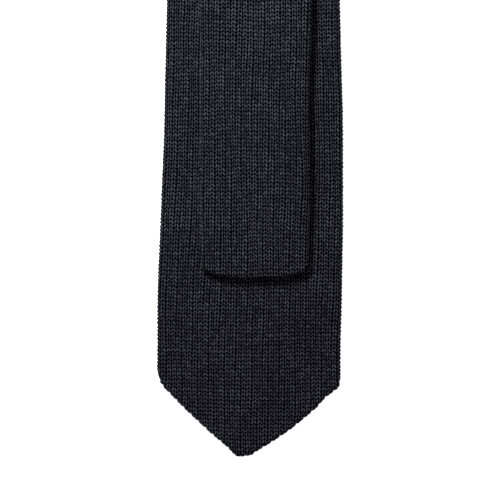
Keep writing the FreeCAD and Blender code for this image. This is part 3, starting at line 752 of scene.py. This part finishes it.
# ---------------------------------------------------------------- keeper loop
# A narrow band of the same knit across the back of the blade, sewn down at both ends, that the tail slides
# through.
KEEPER_AT = 235.0
KEEPER_WIDTH = 12.0
KEEPER_THICK = 1.0
KEEPER_WALES, KEEPER_COURSES = 6, 42
KEEPER_RELIEF = 0.55     # its knit is pulled flatter than the blade's
KEEPER_CORNER = 0.9      # how softly it bends at the tail's edges
KEEPER_CLOSING, KEEPER_END = 0.8, 0.35      # it thins to this share over its last millimetre
KEEPER_LINE = [(-24.8, 3.85), (-19.85, 3.85), (-19.85, 8.05), (24.25, 8.05), (24.25, 3.85), (29.2, 3.85)]
keeper_sides = [math.dist(a, b) for a, b in zip(KEEPER_LINE, KEEPER_LINE[1:])]
keeper_along = np.concatenate([[0], np.cumsum(keeper_sides)])
keeper_length = float(keeper_along[-1])


def on_keeper(at):
    """A place on the band's middle line, with its corners rounded."""
    return [smooth_line(zip(keeper_along, values), at, KEEPER_CORNER) for values in zip(*KEEPER_LINE)]


def lay_keeper(around, along, shift, height):
    across, at, up = press(
        around, along, shift, height * KEEPER_RELIEF,
        left=lambda s: np.full_like(s, -KEEPER_WIDTH / 2),
        right=lambda s: np.full_like(s, KEEPER_WIDTH / 2),
        low=lambda s: np.full_like(s, STRIP_UP - KEEPER_THICK / 2),
        high=lambda s: np.full_like(s, STRIP_UP + KEEPER_THICK / 2),
        widest=KEEPER_WIDTH,
    )
    at = np.clip(at, 0, keeper_length)
    open_share = 1 - np.clip(np.minimum(at, keeper_length - at) / KEEPER_CLOSING, 0, 1)
    up = (up - STRIP_UP) * np.maximum(np.sqrt(1 - open_share ** 2), KEEPER_END)
    x, z = on_keeper(at)
    (x_before, z_before), (x_after, z_after) = on_keeper(at - 0.2), on_keeper(at + 0.2)
    run_x, run_z = x_after - x_before, z_after - z_before
    run = np.hypot(run_x, run_z)
    return x - up * run_z / run, POINT_AT + KEEPER_AT + across, z + up * run_x / run


keeper = knit("keeper_band", KEEPER_WALES, 0, KEEPER_COURSES, keeper_length / KEEPER_COURSES, lay_keeper)
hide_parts("keeper_loop")
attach(keeper, "blade")

# Each foot is held by two bar tacks: close stitches side by side over the knit.
sewing_thread = yarn_material("navy_polyester_thread", "#4a4a58", "#101016", roughness=0.5, specular=0.4)
TACK_LENGTH = 9.6
TACK_STEP = 0.55
TACK_SIDES = (-23.35, -21.25, 25.65, 27.75)
TACK_UP = 4.42
TACK_STITCH = (1.15, 0.5, 0.5)


def stitches_piece(name, body, node, places, run, sizes):
    """Stitches of sewing thread, all the same size and all in one direction."""
    bm = bmesh.new()
    for place in places:
        add_loop(bm, place, run, (0, 0, 1), sizes)
    piece = add_piece(name, bm, body)
    piece.data.materials.append(sewing_thread)
    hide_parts(node)
    return piece


tack_count = int(TACK_LENGTH / TACK_STEP)
tack_places = [
    (x, POINT_AT + KEEPER_AT + (i - (tack_count - 1) / 2) * TACK_STEP, TACK_UP)
    for x in TACK_SIDES
    for i in range(tack_count)
]
stitches_piece("keeper_bar_tack_stitches", "blade", "keeper_bar_tacks", tack_places, (1, 0, 0),
               TACK_STITCH)

# ---------------------------------------------------------------- labels
# Two woven labels without lettering, sewn to the back of the blade under the tail: a dark satin one, sewn
# along its short ends, and above it a pale one, sewn along its upper edge.
LABEL_LOW = 3.32         # it lies on the blade's loops
LABEL_WAVE = 0.03        # and waves a little with them
LABEL_EDGE = 0.08        # the round of its folded edges


def label(name, node, thickness, material):
    """A soft flat label in its node's place. Gives its lowest and highest corners in millimetres."""
    low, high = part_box(node)
    bm = bmesh.new()
    slab(bm, across=26, along=16)
    for vertex in bm.verts:
        x, y, z = vertex.co
        wave = LABEL_WAVE * math.sin(9 * x + 3 * y) + LABEL_WAVE * math.sin(11 * y)
        place_x = (low.x + high.x) / 2 + x * (high.x - low.x)
        place_y = (low.y + high.y) / 2 + y * (high.y - low.y)
        vertex.co = Vector((place_x, place_y, (LABEL_LOW + wave + (z + 0.5) * thickness) * MM))
    rim = [edge for edge in bm.edges if edge.calc_face_angle(0) > 1]
    bmesh.ops.bevel(bm, geom=rim, offset=LABEL_EDGE * MM, segments=2, profile=0.5, affect="EDGES",
                    material=-1)
    bmesh.ops.recalc_face_normals(bm, faces=bm.faces)
    piece = add_piece(name, bm, "blade")
    piece.data.materials.append(material)
    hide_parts(node)
    return low / MM, high / MM


SATIN_THREAD = 0.5
MAKER_THICK, CARE_THICK = 0.28, 0.22
dark_satin = woven_material("black_label_satin", "#24242a", "#0b0b0e", SATIN_THREAD,
                            roughness=0.35, specular=0.5)
pale_satin = woven_material("white_label_satin", "#eceae4", "#c9c6be", SATIN_THREAD,
                            roughness=0.45, specular=0.5)
maker_low, maker_high = label("maker_label_satin", "maker_label", MAKER_THICK, dark_satin)
care_low, care_high = label("care_label_satin", "care_label", CARE_THICK, pale_satin)

# running stitches along a row in from the label's edge
STITCH_PITCH = 3.6
STITCH = (2.4, 0.5, 0.25)
MAKER_STITCHES, CARE_STITCHES = 4, 6
ROW_IN, ROW_START = 1.55, 2.4
MAKER_STITCH_UP, CARE_STITCH_UP = 3.66, 3.6
maker_stitches = [
    (x, maker_low.y + ROW_START + i * STITCH_PITCH, MAKER_STITCH_UP)
    for x in (maker_low.x + ROW_IN, maker_high.x - ROW_IN)
    for i in range(MAKER_STITCHES)
]
stitches_piece("maker_label_thread", "blade", "maker_label_stitches", maker_stitches, (0, 1, 0), STITCH)
care_stitches = [
    (care_low.x + ROW_START + i * STITCH_PITCH, care_high.y - ROW_IN, CARE_STITCH_UP)
    for i in range(CARE_STITCHES)
]
stitches_piece("care_label_thread", "blade", "care_label_stitches", care_stitches, (1, 0, 0), STITCH)
